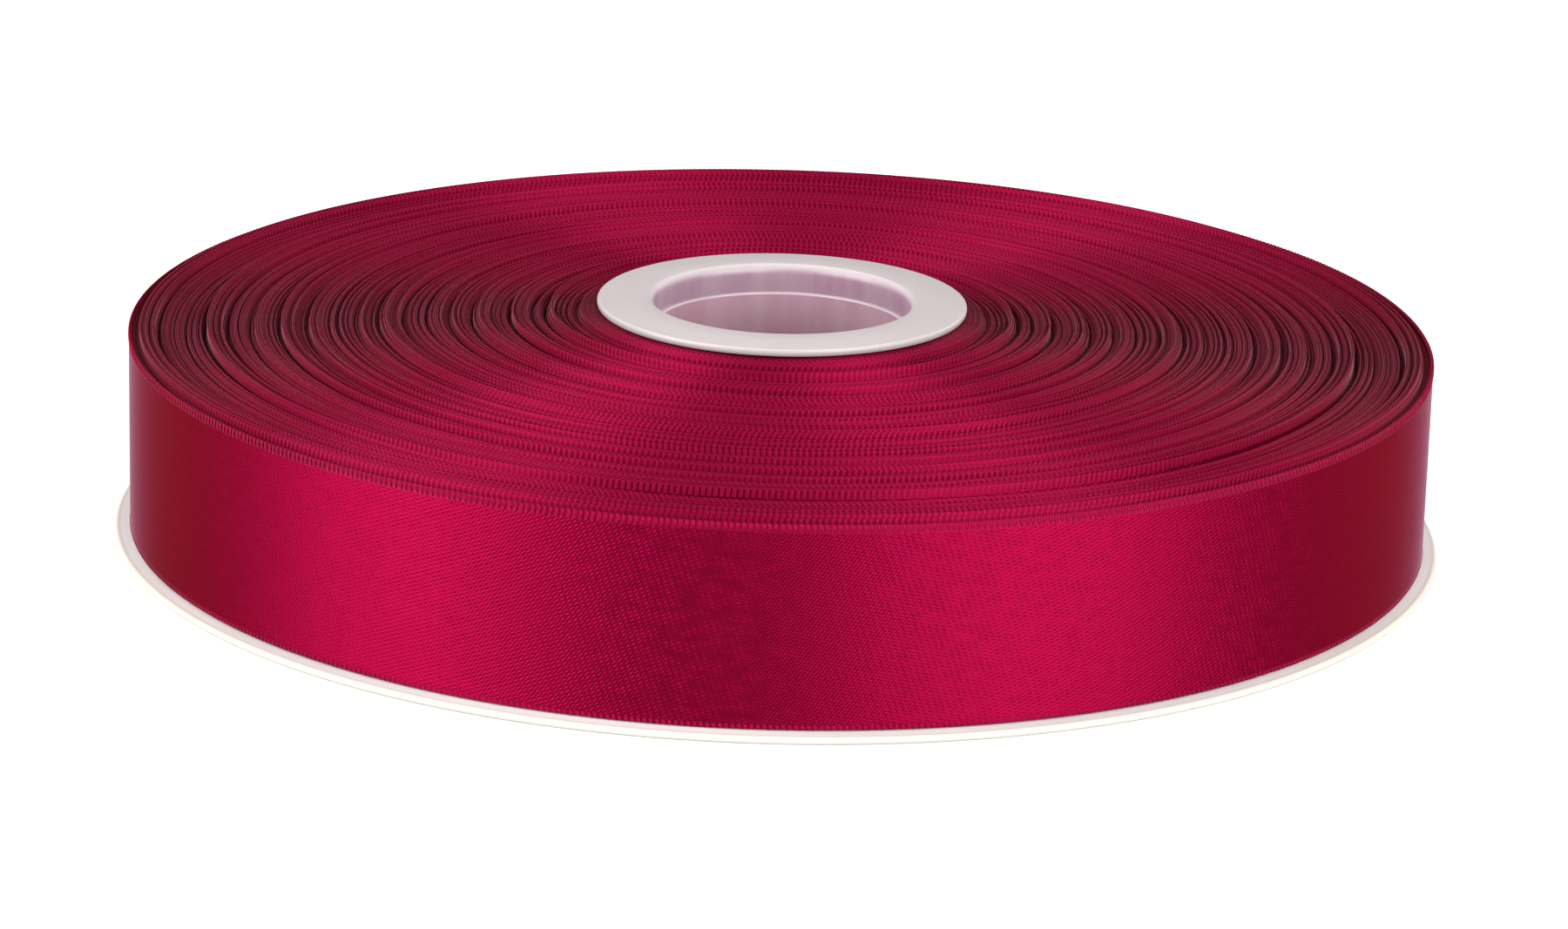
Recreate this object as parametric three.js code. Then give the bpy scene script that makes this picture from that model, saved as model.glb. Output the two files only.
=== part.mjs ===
/**
 * Bulk roll of satin ribbon, wound on a hub that carries one wide base disc.
 *
 * Millimetres, +Z up. The hub's axis is Z, the table is z = 0, and +Y is the back, where the
 * ribbon's free end is taped down.
 */
import * as THREE from "three";

// --- Driving dimensions -------------------------------------------------------------------------

const RIBBON_WIDTH = 25;
const RIBBON_LENGTH = 91440; // 100 yards
const RIBBON_PITCH = 0.223; // one turn's thickness as wound

const CORE_OUTER_RADIUS = 19.5;
const CORE_BORE_RADIUS = 15.9;
const COLLAR_RADIUS = 23.6;
const COLLAR_THICKNESS = 1.5; // of the upper collar's flange, at its flat inner ring
const COLLAR_EDGE_THICKNESS = 1.1; // at its outer edge, where the flange slopes down
const COLLAR_FLAT_RADIUS = 19.6;
const BASE_FLANGE_THICKNESS = 1.2;
const COLLAR_BORE_RADIUS = 16.4;
const COLLAR_SLEEVE_RADIUS = 17.4;
const TOP_SLEEVE_DEPTH = 3.6; // from the collar's face down to the sleeve's end
const BASE_SLEEVE_DEPTH = 4.2;

const DISC_RADIUS = 84.8;
const DISC_THICKNESS = 1;
const DISC_RISE = 2.2; // the disc is dished: its middle stands this much above its rim

const FIT_GAP = 0.3; // between pieces that touch on the real object
const ROUND_SEGMENTS = 96;
const FILLET_STEPS = 4;

const TAIL_HINGE_DEG = 75; // where the lifted end bends, counted from +X towards +Y
const TAIL_END_DEG = 107;
const TAIL_THICKNESS = 0.5;
const TAPE_THICKNESS = 0.25;
const TAIL_TAPE_DEG = [101, 113.5];
const TAIL_TAPE_WIDTH = 12;
const CORE_TAPE_DEG = [-30, 30];
const CORE_TAPE_WIDTH = 18;
const CORE_TAPE_THICKNESS = 0.15;

// --- Sizes worked out from them -----------------------------------------------------------------

const ROLL_INNER_RADIUS = CORE_OUTER_RADIUS + 2 * FIT_GAP;
const ROLL_OUTER_RADIUS = Math.sqrt(ROLL_INNER_RADIUS ** 2 + (RIBBON_LENGTH * RIBBON_PITCH) / Math.PI);
const ROLL_BOTTOM = DISC_RISE + DISC_THICKNESS + FIT_GAP; // at the hub
const ROLL_TOP = ROLL_BOTTOM + RIBBON_WIDTH;
const TOP_FLANGE_UNDERSIDE = ROLL_TOP + FIT_GAP;
const TOP_FACE = TOP_FLANGE_UNDERSIDE + COLLAR_THICKNESS;
const CORE_BOTTOM = BASE_FLANGE_THICKNESS + FIT_GAP;
const CORE_TOP = ROLL_TOP;
const SOCKET_RADIUS = COLLAR_SLEEVE_RADIUS + FIT_GAP;
const DISC_HOLE_RADIUS = CORE_OUTER_RADIUS + FIT_GAP;
const TAIL_INNER_RADIUS = ROLL_OUTER_RADIUS + FIT_GAP;
const TAIL_OUTER_RADIUS = TAIL_INNER_RADIUS + TAIL_THICKNESS;
const DISC_TOP_AT_RIM = DISC_THICKNESS;
const TAIL_BOTTOM = DISC_TOP_AT_RIM + 2 * FIT_GAP;
const TAIL_TOP = TAIL_BOTTOM + RIBBON_WIDTH - FIT_GAP;

// --- Materials ----------------------------------------------------------------------------------

const satin = () => new THREE.MeshStandardMaterial({ color: 0x9c0f3c, roughness: 0.38, metalness: 0 });
const milkyPlastic = () => new THREE.MeshStandardMaterial({ color: 0xe4dcd9, roughness: 0.42, metalness: 0 });
const whiteDisc = () => new THREE.MeshStandardMaterial({ color: 0xe8e0da, roughness: 0.5, metalness: 0 });
const coreBoard = () => new THREE.MeshStandardMaterial({ color: 0xd9ced0, roughness: 0.55, metalness: 0 });
const clearTape = () => new THREE.MeshStandardMaterial({ color: 0xe6e2d8, roughness: 0.2, metalness: 0 });

// --- Shape helpers ------------------------------------------------------------------------------

/** A point of a turned profile: its distance from the axis and its height. */
const at = (radius, height) => new THREE.Vector2(radius, height);

/** A round corner's points, on a circle about a centre, from one angle to another in degrees. */
function corner(centreRadius, centreHeight, radius, fromDeg, toDeg) {
  const points = [];
  for (let step = 0; step <= FILLET_STEPS; step += 1) {
    const angle = THREE.MathUtils.degToRad(fromDeg + ((toDeg - fromDeg) * step) / FILLET_STEPS);
    points.push(at(centreRadius + radius * Math.cos(angle), centreHeight + radius * Math.sin(angle)));
  }
  return points;
}

/** Turns a closed profile, listed anticlockwise, about the Z axis. */
function turned(profile) {
  const lathe = new THREE.LatheGeometry([...profile, profile[0]], ROUND_SEGMENTS);
  return lathe.rotateX(Math.PI / 2);
}

/** A curved strip that stands on edge: part of a ring between two angles and two heights. */
function curvedStrip(innerRadius, outerRadius, [fromDeg, toDeg], bottom, top) {
  const from = THREE.MathUtils.degToRad(fromDeg);
  const to = THREE.MathUtils.degToRad(toDeg);
  const outline = new THREE.Shape();
  outline.absarc(0, 0, outerRadius, from, to, false);
  outline.absarc(0, 0, innerRadius, to, from, true);
  outline.closePath();
  const strip = new THREE.ExtrudeGeometry(outline, {
    depth: top - bottom,
    bevelEnabled: false,
    curveSegments: 16,
  });
  return strip.translate(0, 0, bottom);
}

/** Height of the dished disc's upper face, or of anything parallel to it, above its value at the rim. */
function dish(radius) {
  const share = (DISC_RADIUS - radius) / (DISC_RADIUS - COLLAR_RADIUS);
  return DISC_RISE * Math.min(1, Math.max(0, share));
}

// --- Pieces -------------------------------------------------------------------------------------

/** Tube that the ribbon is wound on, with a wider socket at each end for a collar's sleeve. */
function coreTube() {
  const topShoulder = TOP_FACE - TOP_SLEEVE_DEPTH - FIT_GAP;
  const bottomShoulder = BASE_SLEEVE_DEPTH + FIT_GAP;
  return turned([
    at(SOCKET_RADIUS, CORE_BOTTOM),
    at(CORE_OUTER_RADIUS, CORE_BOTTOM),
    at(CORE_OUTER_RADIUS, CORE_TOP),
    at(SOCKET_RADIUS, CORE_TOP),
    at(SOCKET_RADIUS, topShoulder),
    at(CORE_BORE_RADIUS, topShoulder),
    at(CORE_BORE_RADIUS, bottomShoulder),
    at(SOCKET_RADIUS, bottomShoulder),
  ]);
}

/** Collar that plugs into the core's upper end and overlaps the innermost turns. */
function topCollar() {
  const edge = COLLAR_EDGE_THICKNESS / 2;
  const mouth = 0.7; // rounding of the bore's mouth
  return turned([
    at(COLLAR_BORE_RADIUS, TOP_FACE - TOP_SLEEVE_DEPTH),
    at(COLLAR_SLEEVE_RADIUS, TOP_FACE - TOP_SLEEVE_DEPTH),
    at(COLLAR_SLEEVE_RADIUS, TOP_FLANGE_UNDERSIDE),
    ...corner(COLLAR_RADIUS - edge, TOP_FLANGE_UNDERSIDE + edge, edge, -90, 80),
    at(COLLAR_FLAT_RADIUS, TOP_FACE),
    ...corner(COLLAR_BORE_RADIUS + mouth, TOP_FACE - mouth, mouth, 90, 180),
  ]);
}

/** Collar that plugs into the core's lower end, holds the disc on, and rests on the table. */
function bottomCollar() {
  const edge = BASE_FLANGE_THICKNESS / 3;
  return turned([
    at(COLLAR_BORE_RADIUS, 0),
    ...corner(COLLAR_RADIUS - edge, edge, edge, -90, 0),
    at(COLLAR_RADIUS, BASE_FLANGE_THICKNESS),
    at(COLLAR_SLEEVE_RADIUS, BASE_FLANGE_THICKNESS),
    at(COLLAR_SLEEVE_RADIUS, BASE_SLEEVE_DEPTH),
    at(COLLAR_BORE_RADIUS, BASE_SLEEVE_DEPTH),
  ]);
}

/** Wide thin disc under the ribbon, slightly dished, with a rounded rim that rests on the table. */
function bottomDisc() {
  const edge = DISC_THICKNESS / 2;
  return turned([
    at(DISC_HOLE_RADIUS, DISC_RISE),
    at(COLLAR_RADIUS, DISC_RISE),
    ...corner(DISC_RADIUS - edge, edge, edge, -90, 90),
    at(COLLAR_RADIUS, DISC_RISE + DISC_THICKNESS),
    at(DISC_HOLE_RADIUS, DISC_RISE + DISC_THICKNESS),
  ]);
}

/** All the wound turns as one ring that follows the dished disc. */
function ribbonRoll() {
  const bottomAt = (radius) => DISC_THICKNESS + FIT_GAP + dish(radius);
  const radii = [ROLL_INNER_RADIUS, COLLAR_RADIUS, ROLL_OUTER_RADIUS];
  const lower = radii.map((radius) => at(radius, bottomAt(radius)));
  const upper = radii.map((radius) => at(radius, bottomAt(radius) + RIBBON_WIDTH)).reverse();
  return turned([...lower, ...upper]);
}

/** Last stretch of ribbon, which lifts off the roll. */
function ribbonTail() {
  const angles = [TAIL_HINGE_DEG, TAIL_END_DEG];
  return curvedStrip(TAIL_INNER_RADIUS, TAIL_OUTER_RADIUS, angles, TAIL_BOTTOM, TAIL_TOP);
}

/** Clear tape over the ribbon's free end. */
function tailTape() {
  const inner = TAIL_OUTER_RADIUS + FIT_GAP;
  const middle = (TAIL_BOTTOM + TAIL_TOP) / 2;
  const half = TAIL_TAPE_WIDTH / 2;
  return curvedStrip(inner, inner + TAPE_THICKNESS, TAIL_TAPE_DEG, middle - half, middle + half);
}

/** Double-sided tape that holds the first turn to the core. */
function coreTape() {
  const inner = CORE_OUTER_RADIUS + FIT_GAP - CORE_TAPE_THICKNESS / 2;
  const middle = ROLL_BOTTOM + RIBBON_WIDTH / 2;
  const half = CORE_TAPE_WIDTH / 2;
  return curvedStrip(inner, inner + CORE_TAPE_THICKNESS, CORE_TAPE_DEG, middle - half, middle + half);
}

// --- Assembly -----------------------------------------------------------------------------------

const PIECES = [
  ["core_tube", coreTube, coreBoard],
  ["top_collar", topCollar, milkyPlastic],
  ["bottom_collar", bottomCollar, milkyPlastic],
  ["bottom_disc", bottomDisc, whiteDisc],
  ["core_tape", coreTape, clearTape],
  ["ribbon_roll", ribbonRoll, satin],
  ["ribbon_tail", ribbonTail, satin],
  ["tail_tape", tailTape, clearTape],
];

const spool = new THREE.Group();
for (const [name, shape, material] of PIECES) {
  const mesh = new THREE.Mesh(shape(), material());
  mesh.name = name;
  spool.add(mesh);
}

export default spool;
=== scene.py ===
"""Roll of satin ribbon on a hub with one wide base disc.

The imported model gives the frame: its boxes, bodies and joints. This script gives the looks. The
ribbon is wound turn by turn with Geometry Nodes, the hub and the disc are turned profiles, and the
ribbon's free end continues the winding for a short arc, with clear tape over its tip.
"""

import logging
import math
from dataclasses import dataclass, field
from enum import Enum
from typing import Any, Iterable, Sequence

import bmesh
import bpy
from mathutils import Matrix, Vector


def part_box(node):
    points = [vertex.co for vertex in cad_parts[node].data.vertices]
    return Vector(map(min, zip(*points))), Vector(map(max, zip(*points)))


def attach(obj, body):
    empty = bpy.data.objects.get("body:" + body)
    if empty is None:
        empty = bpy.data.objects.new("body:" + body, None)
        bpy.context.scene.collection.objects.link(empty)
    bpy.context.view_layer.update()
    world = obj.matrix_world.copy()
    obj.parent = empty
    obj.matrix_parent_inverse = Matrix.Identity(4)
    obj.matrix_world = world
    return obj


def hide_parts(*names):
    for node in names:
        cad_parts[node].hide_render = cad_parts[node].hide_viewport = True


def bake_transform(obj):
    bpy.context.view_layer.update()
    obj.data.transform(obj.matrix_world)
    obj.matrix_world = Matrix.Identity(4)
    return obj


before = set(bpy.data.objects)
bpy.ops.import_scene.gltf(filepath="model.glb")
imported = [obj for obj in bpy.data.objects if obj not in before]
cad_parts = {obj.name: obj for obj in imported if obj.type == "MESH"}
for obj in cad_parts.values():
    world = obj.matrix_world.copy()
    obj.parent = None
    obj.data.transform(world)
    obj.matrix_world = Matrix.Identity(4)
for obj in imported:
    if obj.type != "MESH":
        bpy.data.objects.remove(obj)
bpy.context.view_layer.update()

LOG = logging.getLogger("ribbon_spool")
MM = 0.001
FULL_TURN = 2 * math.pi
THREAD_UV = "Thread"

Colour = tuple[float, float, float]
Source = Any  # a node socket, or a plain value for an input
Point = tuple[float, float]

WHITE: Colour = (1.0, 1.0, 1.0)
NOISE_SPREAD: Point = (0.3, 0.7)  # where most of a noise texture's values lie


class Body(Enum):
    """Bodies that pieces ride on."""

    SPOOL = "spool"
    COLLAR = "collar"
    TAIL = "tail"


class Slot(Enum):
    """Material slots of the record."""

    SATIN = "satin_ribbon"
    COLLAR = "collar_plastic"
    DISC = "disc_plastic"
    CORE = "core_board"
    TAPE = "clear_tape"


# --- Node trees ---------------------------------------------------------------------------------


class Graph:
    """A node tree being written, with one short call for each kind of step."""

    def __init__(self, tree: bpy.types.NodeTree) -> None:
        """Starts writing into a tree.

        Args:
            tree: The tree, of shader or geometry nodes.
        """
        self.tree = tree

    def put(self, socket: bpy.types.NodeSocket, value: Source) -> None:
        """Feeds an input from another node's output, or gives it a plain value."""
        if isinstance(value, bpy.types.NodeSocket):
            self.tree.links.new(value, socket)
        else:
            socket.default_value = value

    def node(self, kind: str, inputs: dict[Any, Source] | None = None, **settings: Any) -> bpy.types.Node:
        """Adds a node.

        Args:
            kind: The node's type name.
            inputs: Values or sockets, by the input's name or number.
            settings: Properties of the node, such as its operation.

        Returns:
            The new node.
        """
        made = self.tree.nodes.new(kind)
        for name, value in settings.items():
            setattr(made, name, value)
        for name, value in (inputs or {}).items():
            self.put(made.inputs[name], value)
        return made

    def math(self, operation: str, first: Source, second: Source = 0.0, third: Source = 0.0) -> Source:
        """Adds a Math node and returns its output."""
        inputs = {0: first, 1: second, 2: third}
        return self.node("ShaderNodeMath", inputs, operation=operation).outputs[0]

    def add(self, *terms: Source) -> Source:
        """Adds up two or more values."""
        total = terms[0]
        for term in terms[1:]:
            total = self.math("ADD", total, term)
        return total

    def times(self, *factors: Source) -> Source:
        """Multiplies two or more values."""
        product = factors[0]
        for factor in factors[1:]:
            product = self.math("MULTIPLY", product, factor)
        return product

    def minus(self, first: Source, second: Source) -> Source:
        """Takes one value from another."""
        return self.math("SUBTRACT", first, second)

    def over(self, first: Source, second: Source) -> Source:
        """Divides one value by another."""
        return self.math("DIVIDE", first, second)

    def ramp(
        self, value: Source, low: Source, high: Source, start: Source = 0.0, end: Source = 1.0
    ) -> Source:
        """Maps a range smoothly onto another, and holds it flat outside.

        Args:
            value: What is mapped.
            low: Where the change begins.
            high: Where the change ends.
            start: Result at and before low.
            end: Result at and after high.

        Returns:
            The mapped value.
        """
        inputs = {"Value": value, "From Min": low, "From Max": high, "To Min": start, "To Max": end}
        return self.node("ShaderNodeMapRange", inputs, interpolation_type="SMOOTHSTEP").outputs[0]

    def mix(self, share: Source, first: Source, second: Source) -> Source:
        """Blends two values by a share from 0 to 1."""
        inputs = {"Factor": share, 2: first, 3: second}
        return self.node("ShaderNodeMix", inputs, data_type="FLOAT").outputs[0]

    def blend(self, share: Source, first: Source, second: Source) -> Source:
        """Blends two colours by a share from 0 to 1."""
        inputs = {"Factor": share, 6: first, 7: second}
        return self.node("ShaderNodeMix", inputs, data_type="RGBA").outputs[2]

    def vector(self, x: Source, y: Source, z: Source) -> Source:
        """Joins three values into a vector."""
        return self.node("ShaderNodeCombineXYZ", {0: x, 1: y, 2: z}).outputs[0]

    def split(self, vector: Source) -> Sequence[Source]:
        """Splits a vector into its three values."""
        return self.node("ShaderNodeSeparateXYZ", {0: vector}).outputs

    def noise(self, vector: Source, scale: Source, detail: float = 2.0) -> Source:
        """Adds a noise texture and returns its value, about 0 to 1."""
        inputs = {"Vector": vector, "Scale": scale, "Detail": detail}
        return self.node("ShaderNodeTexNoise", inputs).outputs[0]

    def chance(self, seed: Source) -> Source:
        """Draws a value from 0 to 1 that depends on its seed alone."""
        return self.node("ShaderNodeTexWhiteNoise", {"W": seed}, noise_dimensions="1D").outputs[0]

    def swing(self, share: Source, reach: Source) -> Source:
        """Turns a value from 0 to 1 into one from minus a reach to the reach."""
        return self.times(self.minus(share, 0.5), 2.0, reach)

    def wave(self, along: Source, period: Source) -> Source:
        """Makes a wave between -1 and 1 that repeats at a period."""
        return self.math("COSINE", self.times(self.over(along, period), FULL_TURN))

    def on_circle(self, angle: Source, radius: Source, height: Source) -> Source:
        """Finds the place at an angle, a distance from the axis, and a height."""
        across = self.times(self.math("COSINE", angle), radius)
        return self.vector(across, self.times(self.math("SINE", angle), radius), height)

    def from_axis(self, x: Source, y: Source) -> Source:
        """Finds the distance from the Z axis."""
        return self.math("SQRT", self.add(self.times(x, x), self.times(y, y)))

    def bump(self, height: Source, strength: float, distance: float) -> Source:
        """Adds a bump and returns the normal that it gives."""
        inputs = {"Strength": strength, "Distance": distance, "Height": height}
        return self.node("ShaderNodeBump", inputs).outputs[0]

    def fill(self, shader: bpy.types.Node, values: dict[str, Source]) -> None:
        """Feeds a shader's inputs, each from a socket or with a plain value."""
        for name, value in values.items():
            self.put(shader.inputs[name], value)

    def use(self, group: bpy.types.NodeTree, inputs: dict[Any, Source]) -> Sequence[Source]:
        """Places a node group and returns its outputs."""
        kind = "GeometryNodeGroup" if self.tree.bl_idname == "GeometryNodeTree" else "ShaderNodeGroup"
        placed = self.node(kind, node_tree=group)
        for name, value in inputs.items():
            self.put(placed.inputs[name], value)
        return placed.outputs


SOCKETS = {
    float: "NodeSocketFloat",
    int: "NodeSocketInt",
    "vector": "NodeSocketVector",
    "object": "NodeSocketObject",
    "material": "NodeSocketMaterial",
    "geometry": "NodeSocketGeometry",
}


def floats(*names: str) -> dict[str, Any]:
    """Lists sockets that carry plain values."""
    return dict.fromkeys(names, float)


def new_group(
    name: str, kind: str, inputs: dict[str, Any], outputs: dict[str, Any]
) -> tuple[Graph, Sequence[Source]]:
    """Makes an empty node group with its named sockets.

    Args:
        name: The group's name.
        kind: The tree's type name.
        inputs: Each input's name and its kind of socket.
        outputs: Each output's name and its kind of socket.

    Returns:
        The graph to write in, and the group's inputs as sockets to read from.
    """
    tree = bpy.data.node_groups.new(name, kind)
    for label, socket in inputs.items():
        tree.interface.new_socket(label, in_out="INPUT", socket_type=SOCKETS[socket])
    for label, socket in outputs.items():
        tree.interface.new_socket(label, in_out="OUTPUT", socket_type=SOCKETS[socket])
    graph = Graph(tree)
    return graph, graph.node("NodeGroupInput").outputs


def add_object(name: str, data: Any) -> bpy.types.Object:
    """Makes an object around a mesh, curve, light or camera, and links it to the scene."""
    made = bpy.data.objects.new(name, data)
    bpy.context.collection.objects.link(made)
    return made


def grow(name: str, tree: bpy.types.NodeTree, inputs: dict[str, Any]) -> bpy.types.Object:
    """Runs a Geometry Nodes tree and keeps what it makes as a plain mesh.

    Args:
        name: The piece's name.
        tree: The tree.
        inputs: Values for the tree's named inputs.

    Returns:
        An object with the finished mesh and no modifier.
    """
    maker = add_object(name + "_maker", bpy.data.meshes.new(name + "_maker"))
    modifier = maker.modifiers.new("grow", "NODES")
    modifier.node_group = tree
    for item in tree.interface.items_tree:
        if item.in_out == "INPUT" and item.name in inputs:
            modifier[item.identifier] = inputs[item.name]
    seen = maker.evaluated_get(bpy.context.evaluated_depsgraph_get())
    mesh = bpy.data.meshes.new_from_object(seen)
    maker.modifiers.remove(modifier)
    bpy.data.objects.remove(maker)
    mesh.name = name
    return add_object(name, mesh)


# --- Shader groups shared by several materials --------------------------------------------------


def selvage_group() -> bpy.types.NodeTree:
    """Builds the stitched edge of a ribbon: bars across it at an even pitch.

    Returns:
        A group with the bars' height and the mask of the stitched edge, both 0 to 1.
    """
    lower_share = 1.7  # the stitched border is narrower at the lower edge by this
    foot, crest = 0.22, 0.9
    soft_border = 0.15
    inputs = floats("Along", "Across", "Width", "Pitch", "Edge", "Slant")
    graph, given = new_group("selvage_stitches", "ShaderNodeTree", inputs, floats("Bars", "Mask"))
    from_bottom = graph.times(given["Across"], lower_share)
    to_edge = graph.math("MINIMUM", from_bottom, graph.minus(given["Width"], given["Across"]))
    leaning = graph.add(given["Along"], graph.times(to_edge, given["Slant"]))
    wave = graph.math("MULTIPLY_ADD", graph.wave(leaning, given["Pitch"]), 0.5, 0.5)
    bars = graph.ramp(wave, foot, crest)
    border = graph.ramp(to_edge, graph.minus(given["Edge"], soft_border), given["Edge"])
    graph.node("NodeGroupOutput", {"Bars": bars, "Mask": graph.minus(1.0, border)})
    return graph.tree


def weave_group() -> bpy.types.NodeTree:
    """Builds the fine slanting lines of a satin weave, broken up so that they come and go.

    Returns:
        A group with the lines' height, 0 to 1.
    """
    crossing_slant = 0.35
    float_swing, float_middle = 0.6, 0.4
    stretch = 2.5
    patch_scale, fleck_scale = 0.35, 2.2
    patch_depth = (0.5, 1.0)
    line_swing, line_middle = 0.48, 0.5
    fleck_share = 0.35
    inputs = floats("Along", "Across", "Spacing", "Steepness", "Float")
    graph, given = new_group("satin_weave", "ShaderNodeTree", inputs, floats("Lines"))
    slanting = graph.minus(given["Across"], graph.times(given["Along"], given["Steepness"]))
    ribs = graph.wave(slanting, given["Spacing"])
    crossing = graph.add(given["Along"], graph.times(given["Across"], crossing_slant))
    passes = graph.math("MULTIPLY_ADD", graph.wave(crossing, given["Float"]), float_swing, float_middle)
    dashes = graph.times(ribs, passes)
    place = graph.vector(given["Along"], graph.times(given["Across"], stretch), 0.0)
    patches = graph.ramp(graph.noise(place, patch_scale, 1.0), *NOISE_SPREAD, *patch_depth)
    flecks = graph.minus(graph.noise(place, fleck_scale, 1.0), 0.5)
    lines = graph.math("MULTIPLY_ADD", graph.times(dashes, patches), line_swing, line_middle)
    graph.node("NodeGroupOutput", {"Lines": graph.add(lines, graph.times(flecks, fleck_share))})
    return graph.tree


def moulding_group() -> bpy.types.NodeTree:
    """Builds the faint unevenness of moulded plastic: slow waves and a fine grain.

    Returns:
        A group with the surface's height and a slow tone, both about 0 to 1.
    """
    wave_share, grain_share = 0.8, 0.2
    inputs = {"Place": "vector"} | floats("Wave Scale", "Grain Scale")
    graph, given = new_group("moulded_surface", "ShaderNodeTree", inputs, floats("Height", "Tone"))
    waves = graph.noise(given["Place"], given["Wave Scale"])
    grain = graph.noise(given["Place"], given["Grain Scale"])
    height = graph.add(graph.times(waves, wave_share), graph.times(grain, grain_share))
    graph.node("NodeGroupOutput", {"Height": height, "Tone": waves})
    return graph.tree


class Effects:
    """The shader groups, each built once."""

    def __init__(self) -> None:
        """Builds the groups."""
        self.selvage = selvage_group()
        self.weave = weave_group()
        self.moulding = moulding_group()


# --- Finishes -----------------------------------------------------------------------------------


def new_material(name: str) -> tuple[bpy.types.Material, Graph, bpy.types.Node]:
    """Makes a material with a Principled shader.

    Args:
        name: The material's name.

    Returns:
        The material, the graph to write in, and the shader node.
    """
    material = bpy.data.materials.new(name)
    material.use_nodes = True
    graph = Graph(material.node_tree)
    return material, graph, material.node_tree.nodes["Principled BSDF"]


def rgba(colour: Colour, alpha: float = 1.0) -> tuple[float, float, float, float]:
    """Adds an alpha to a colour."""
    return (*colour, alpha)


@dataclass(frozen=True)
class SatinFinish:
    """Dyed satin with stitched selvages, with a painted sheen at grazing angles and painted shade between the
    stitch bars; lengths in millimetres.
    """

    name: str = "crimson_satin"
    face: Colour = (0.256, 0.0024, 0.0345)
    gap: Colour = (0.165, 0.001, 0.0165)
    thread: Colour = (0.285, 0.0046, 0.0425)
    # Painted shade between the stitch bars.
    crevice_shade: Colour = (0.132, 0.0008, 0.0132)
    # Painted sheen: a whitish colour mixed into the base colour at grazing angles, for the reflection of the
    # bright surroundings; the power and the shares below set how much.
    sheen_colour: Colour = (0.86, 0.78, 0.8)
    edge_tint: Colour = (0.62, 0.1, 0.26)
    sheen_power: float = 10.3
    painted_sheen: float = 1.0
    sheen_share: float = 0.85
    edge_sheen: float = 0.4
    weave_colour: float = 0.62
    weave_depth: float = 1.6
    yarn_spacing: float = 0.5
    yarn_steepness: float = 0.4
    float_length: float = 0.78
    width: float = 25.0
    pitch: float = 0.73
    edge: float = 1.1
    slant: float = 0.12
    patch_scale: Point = (0.035, 0.3)  # along and across the ribbon
    patch_depth: Point = (0.3, 1.0)
    flat_bar: float = 0.8
    bar_depth: float = 0.85
    metal: float = 0.9
    edge_metal: float = 0.56
    specular: float = 0.2
    roughness: float = 0.455
    roughness_swing: float = 0.03
    edge_roughness: float = 0.06
    anisotropy: float = 0.88
    anisotropy_turn: float = 0.25
    bump_strength: float = 0.7
    bump_distance: float = 0.09

    def build(self, effects: Effects) -> bpy.types.Material:
        """Builds the material.

        Args:
            effects: The shared shader groups.

        Returns:
            The material, which reads the thread coordinates: along and across the ribbon.
        """
        material, graph, shader = new_material(self.name)
        thread = graph.node("ShaderNodeUVMap", uv_map=THREAD_UV).outputs[0]
        along, across, _ = graph.split(thread)
        place = {"Along": along, "Across": across}
        yarn = {"Spacing": self.yarn_spacing, "Steepness": self.yarn_steepness, "Float": self.float_length}
        lines = graph.use(effects.weave, place | yarn)["Lines"]
        face = graph.blend(graph.times(lines, self.weave_colour), rgba(self.face), rgba(self.gap))
        height = graph.times(lines, self.weave_depth)
        rough = graph.mix(lines, self.roughness + self.roughness_swing, self.roughness - self.roughness_swing)
        edge = {"Width": self.width, "Pitch": self.pitch, "Edge": self.edge, "Slant": self.slant}
        selvage = graph.use(effects.selvage, place | edge)
        mask = selvage["Mask"]
        scale_along, scale_across = self.patch_scale
        patch = graph.vector(graph.times(along, scale_along), graph.times(across, scale_across), 0.0)
        depth = graph.ramp(graph.noise(patch, 1.0), *NOISE_SPREAD, *self.patch_depth)
        bars = graph.mix(depth, self.flat_bar, selvage["Bars"])
        # Painted shade: the low places between stitch bars get the darker colour.
        stitches = graph.blend(bars, rgba(self.crevice_shade), rgba(self.thread))
        face = graph.blend(mask, face, stitches)
        height = graph.mix(mask, height, graph.times(bars, self.bar_depth))
        # Painted sheen: the base colour turns whitish where the surface is seen at a grazing angle, less on
        # the stitched edge.
        facing = graph.node("ShaderNodeLayerWeight", {"Blend": 0.5}).outputs["Facing"]
        grazing_sheen = graph.times(graph.math("POWER", facing, self.sheen_power), self.sheen_share)
        painted_sheen = graph.math("MINIMUM", grazing_sheen, 1.0)
        painted_sheen = graph.times(painted_sheen, graph.mix(mask, self.painted_sheen, self.edge_sheen))
        tangent = graph.node("ShaderNodeTangent", direction_type="UV_MAP", uv_map=THREAD_UV)
        looks = {
            "Base Color": graph.blend(painted_sheen, face, rgba(self.sheen_colour)),
            "Roughness": graph.mix(mask, rough, self.roughness + self.edge_roughness),
            "Metallic": graph.mix(mask, self.metal, self.edge_metal),
            "Specular IOR Level": self.specular,
            "Specular Tint": rgba(self.edge_tint),
            "Anisotropic": self.anisotropy,
            "Anisotropic Rotation": self.anisotropy_turn,
            "Tangent": tangent.outputs[0],
            "Normal": graph.bump(height, self.bump_strength, self.bump_distance * MM),
        }
        graph.fill(shader, looks)
        return material


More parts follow.
